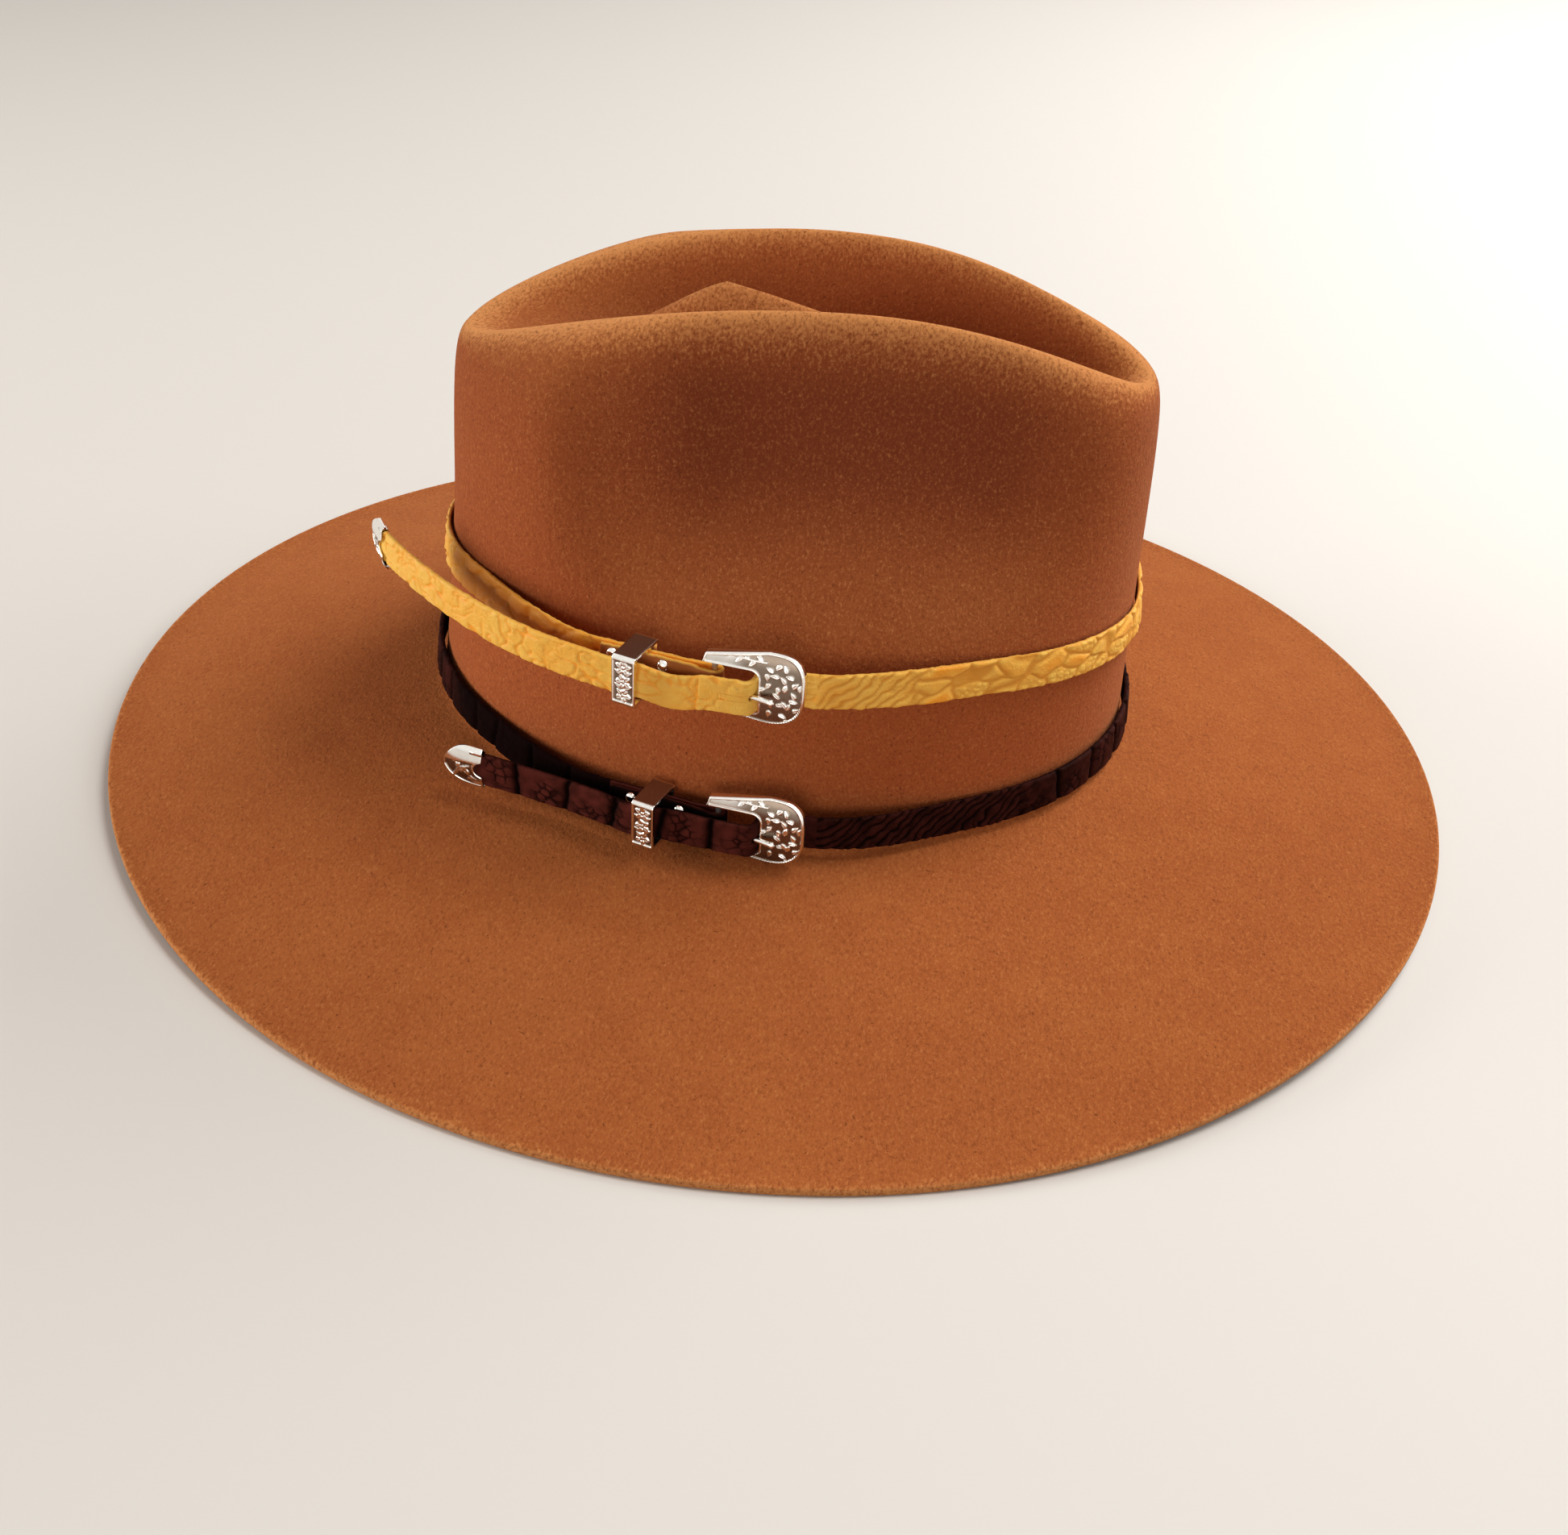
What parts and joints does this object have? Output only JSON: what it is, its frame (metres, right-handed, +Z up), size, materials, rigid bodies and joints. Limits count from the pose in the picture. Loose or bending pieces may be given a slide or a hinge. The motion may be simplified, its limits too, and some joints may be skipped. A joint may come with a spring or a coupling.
{
  "type": "wide-brimmed felt hat with buckled bands",
  "caption": "Western felt hat with a wide, nearly flat brim, a teardrop-creased crown and buckled leather bands with keepers and metal tips, worn on the head.",
  "frame": {"origin": "centre of the hat's plan on the plane that the brim rests on", "axes": "+X to the front of the hat, -Y to the side that carries the buckles, +Z up"},
  "size_m": [0.404, 0.387, 0.1515],
  "materials": {
    "rust_felt": "short brushed nap",
    "mustard_leather": "scale-embossed, satin",
    "dark_leather": "scale-embossed, glossy",
    "engraved_silver": "engraved and polished",
    "polished_silver": "polished",
    "plain_steel": "drawn",
    "sweatband_leather": "smooth",
    "reed_leather": "smooth, covered",
    "bow_ribbon": "satin ribbon"
  },
  "bodies": {
    "hat": {"felt_body": "rust_felt", "sweatband": "sweatband_leather", "sweatband_reed": "reed_leather", "sweatband_bow": "bow_ribbon", "upper_strap": "mustard_leather", "upper_buckle": "engraved_silver", "upper_bar": "plain_steel", "upper_tip": "engraved_silver", "upper_rivets": "polished_silver", "lower_strap": "dark_leather", "lower_buckle": "engraved_silver", "lower_bar": "plain_steel", "lower_tip": "engraved_silver", "lower_rivets": "polished_silver"},
    "upper_prong": {"upper_prong": "polished_silver"},
    "upper_keeper": {"upper_keeper": "engraved_silver"},
    "lower_prong": {"lower_prong": "polished_silver"},
    "lower_keeper": {"lower_keeper": "engraved_silver"}
  },
  "joints": [
    {"name": "upper_prong_lift", "type": "hinge", "parent": "hat", "child": "upper_prong", "pos_m": [0.0005, -0.0925, 0.073], "axis": [0, 0, -1], "range_deg": [0, 30]},
    {"name": "upper_keeper_slide", "type": "slide", "parent": "hat", "child": "upper_keeper", "axis": [0.9903, -0.1392, 0], "range_m": [-0.0014, 0.0014]},
    {"name": "lower_prong_lift", "type": "hinge", "parent": "hat", "child": "lower_prong", "pos_m": [0.003, -0.0925, 0.029], "axis": [0, 0, -1], "range_deg": [0, 30]},
    {"name": "lower_keeper_slide", "type": "slide", "parent": "hat", "child": "lower_keeper", "axis": [0.9903, -0.1392, 0], "range_m": [-0.0014, 0.0014]}
  ]
}
